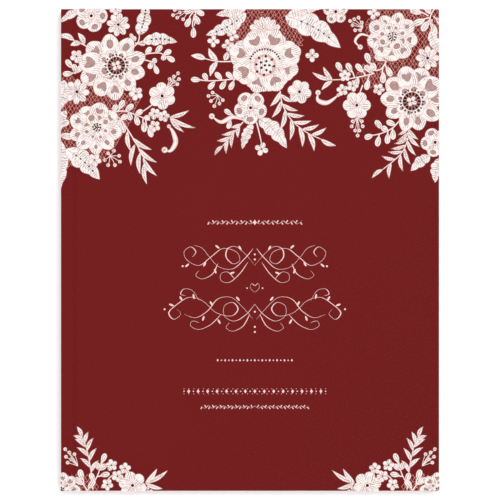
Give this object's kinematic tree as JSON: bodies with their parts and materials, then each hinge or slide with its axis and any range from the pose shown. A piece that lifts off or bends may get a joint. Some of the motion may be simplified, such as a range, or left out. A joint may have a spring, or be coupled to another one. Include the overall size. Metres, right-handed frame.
{
  "type": "wedding guest book",
  "caption": "Portrait hardcover guest book, sewn and case bound, with a lace pattern on deep red covers that open and leaves that turn.",
  "frame": {"origin": "centre of the closed book's footprint, on the surface that it lies on", "axes": "+X from the spine to the fore-edge, +Y from tail to head, +Z from the back cover to the front cover"},
  "size_m": [0.2242, 0.2858, 0.0157],
  "materials": {
    "cover_print": "printed paper with a matt film, deep red with white lace",
    "board": "grey binder's board",
    "endpaper": "uncoated ivory endpaper",
    "leaf_paper": "uncoated off-white writing paper",
    "gauze": "open starched cotton gauze",
    "kraft_paper": "brown kraft paper",
    "thread": "waxed linen thread",
    "headband_cloth": "woven silk band, red and white"
  },
  "bodies": {
    "back_cover": {"back_board": "board", "back_wrap": "cover_print", "back_mull_flap": "gauze", "back_pastedown": "endpaper"},
    "text_block": {"spine_board": "board", "spine_wrap": "cover_print", "spine_lining": "kraft_paper", "mull": "gauze", "sewing_thread": "thread", "headband": "headband_cloth", "tailband": "headband_cloth", "front_endpaper_joint": "endpaper", "back_endpaper_joint": "endpaper", "gathering_1": "leaf_paper", "gathering_2": "leaf_paper", "gathering_3": "leaf_paper", "gathering_4": "leaf_paper"},
    "front_cover": {"front_board": "board", "front_wrap": "cover_print", "front_mull_flap": "gauze", "front_pastedown": "endpaper"},
    "front_flyleaf": {"front_flyleaf": "endpaper"},
    "back_flyleaf": {"back_flyleaf": "endpaper"},
    "leaf_1": {"leaf_1": "leaf_paper"},
    "leaf_2": {"leaf_2": "leaf_paper"},
    "leaf_3": {"leaf_3": "leaf_paper"},
    "leaf_4": {"leaf_4": "leaf_paper"},
    "leaf_5": {"leaf_5": "leaf_paper"},
    "leaf_6": {"leaf_6": "leaf_paper"},
    "leaf_7": {"leaf_7": "leaf_paper"},
    "leaf_8": {"leaf_8": "leaf_paper"}
  },
  "joints": [
    {"name": "back_cover_hinge", "type": "hinge", "parent": "back_cover", "child": "text_block", "pos_m": [-0.11214, 0, 0], "axis": [0, -1, 0], "range_deg": [0, 90], "deforming": ["back_endpaper_joint"]},
    {"name": "front_cover_hinge", "type": "hinge", "parent": "text_block", "child": "front_cover", "pos_m": [-0.11214, 0, 0.01568], "axis": [0, -1, 0], "range_deg": [0, 178], "deforming": ["front_endpaper_joint"]},
    {"name": "front_flyleaf_turn", "type": "hinge", "parent": "text_block", "child": "front_flyleaf", "pos_m": [-0.10565, 0, 0.01235], "axis": [0, -1, 0], "range_deg": [0, 126]},
    {"name": "leaf_1_turn", "type": "hinge", "parent": "text_block", "child": "leaf_1", "pos_m": [-0.10476, 0, 0.01206], "axis": [0, -1, 0], "range_deg": [0, 113]},
    {"name": "leaf_2_turn", "type": "hinge", "parent": "text_block", "child": "leaf_2", "pos_m": [-0.10386, 0, 0.01178], "axis": [0, -1, 0], "range_deg": [0, 100]},
    {"name": "leaf_3_turn", "type": "hinge", "parent": "text_block", "child": "leaf_3", "pos_m": [-0.10296, 0, 0.0115], "axis": [0, -1, 0], "range_deg": [0, 87]},
    {"name": "leaf_4_turn", "type": "hinge", "parent": "text_block", "child": "leaf_4", "pos_m": [-0.10206, 0, 0.01122], "axis": [0, -1, 0], "range_deg": [0, 74]},
    {"name": "leaf_5_turn", "type": "hinge", "parent": "text_block", "child": "leaf_5", "pos_m": [-0.10115, 0, 0.01094], "axis": [0, -1, 0], "range_deg": [0, 61]},
    {"name": "leaf_6_turn", "type": "hinge", "parent": "text_block", "child": "leaf_6", "pos_m": [-0.10025, 0, 0.01066], "axis": [0, -1, 0], "range_deg": [0, 48]},
    {"name": "leaf_7_turn", "type": "hinge", "parent": "text_block", "child": "leaf_7", "pos_m": [-0.09935, 0, 0.01038], "axis": [0, -1, 0], "range_deg": [0, 35]},
    {"name": "leaf_8_turn", "type": "hinge", "parent": "text_block", "child": "leaf_8", "pos_m": [-0.09846, 0, 0.0101], "axis": [0, -1, 0], "range_deg": [0, 22]},
    {"name": "back_flyleaf_turn", "type": "hinge", "parent": "text_block", "child": "back_flyleaf", "pos_m": [-0.10565, 0, 0.00332], "axis": [0, 1, 0], "range_deg": [0, 30]}
  ],
  "couplings": [
    {"joint": "front_flyleaf_turn", "follows": "front_cover_hinge", "ratio": 0.7078},
    {"joint": "leaf_1_turn", "follows": "front_cover_hinge", "ratio": 0.6348},
    {"joint": "leaf_2_turn", "follows": "front_cover_hinge", "ratio": 0.5617},
    {"joint": "leaf_3_turn", "follows": "front_cover_hinge", "ratio": 0.4887},
    {"joint": "leaf_4_turn", "follows": "front_cover_hinge", "ratio": 0.4157},
    {"joint": "leaf_5_turn", "follows": "front_cover_hinge", "ratio": 0.3426},
    {"joint": "leaf_6_turn", "follows": "front_cover_hinge", "ratio": 0.2696},
    {"joint": "leaf_7_turn", "follows": "front_cover_hinge", "ratio": 0.1966},
    {"joint": "leaf_8_turn", "follows": "front_cover_hinge", "ratio": 0.1235},
    {"joint": "back_flyleaf_turn", "follows": "back_cover_hinge", "ratio": 0.3333}
  ]
}
